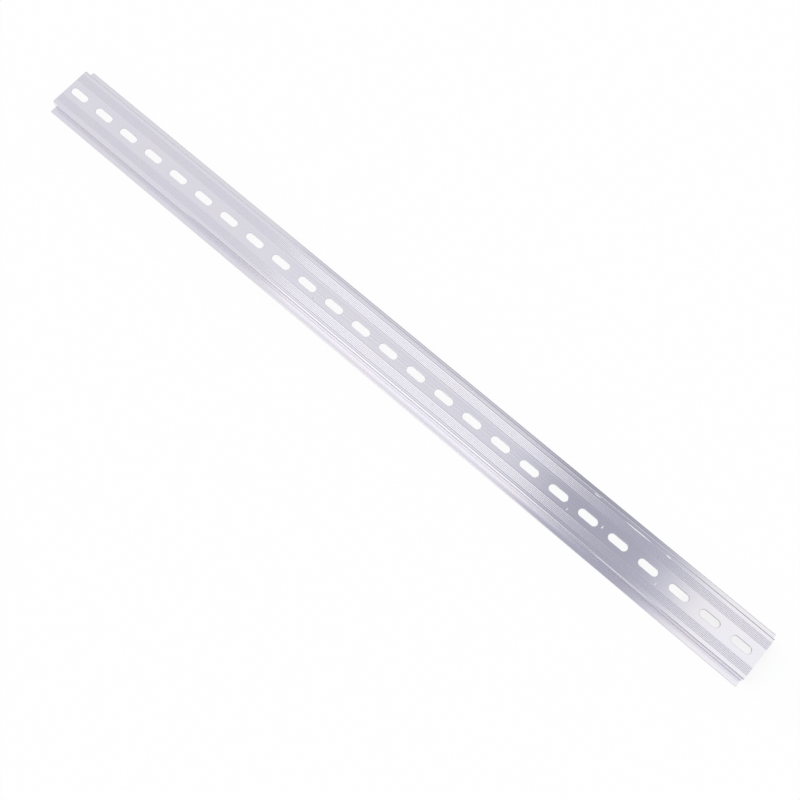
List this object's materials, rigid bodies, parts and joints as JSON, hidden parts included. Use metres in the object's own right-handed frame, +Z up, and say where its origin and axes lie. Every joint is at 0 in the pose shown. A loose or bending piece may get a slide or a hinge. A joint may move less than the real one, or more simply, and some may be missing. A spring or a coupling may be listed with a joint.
{
  "type": "slotted top-hat din rail",
  "caption": "Straight slotted top-hat mounting rail, extruded with fine grip lines along its crown and a row of round-ended slots.",
  "frame": {"origin": "middle of the rail's length, on its centre line, at the level of the flange undersides", "axes": "+X along the rail, +Y across it, +Z up from the panel through the crown"},
  "size_m": [0.5, 0.035, 0.0075],
  "materials": {
    "aluminium": "satin extruded, unpainted"
  },
  "bodies": {
    "root": {"rail": "aluminium"}
  },
  "joints": []
}
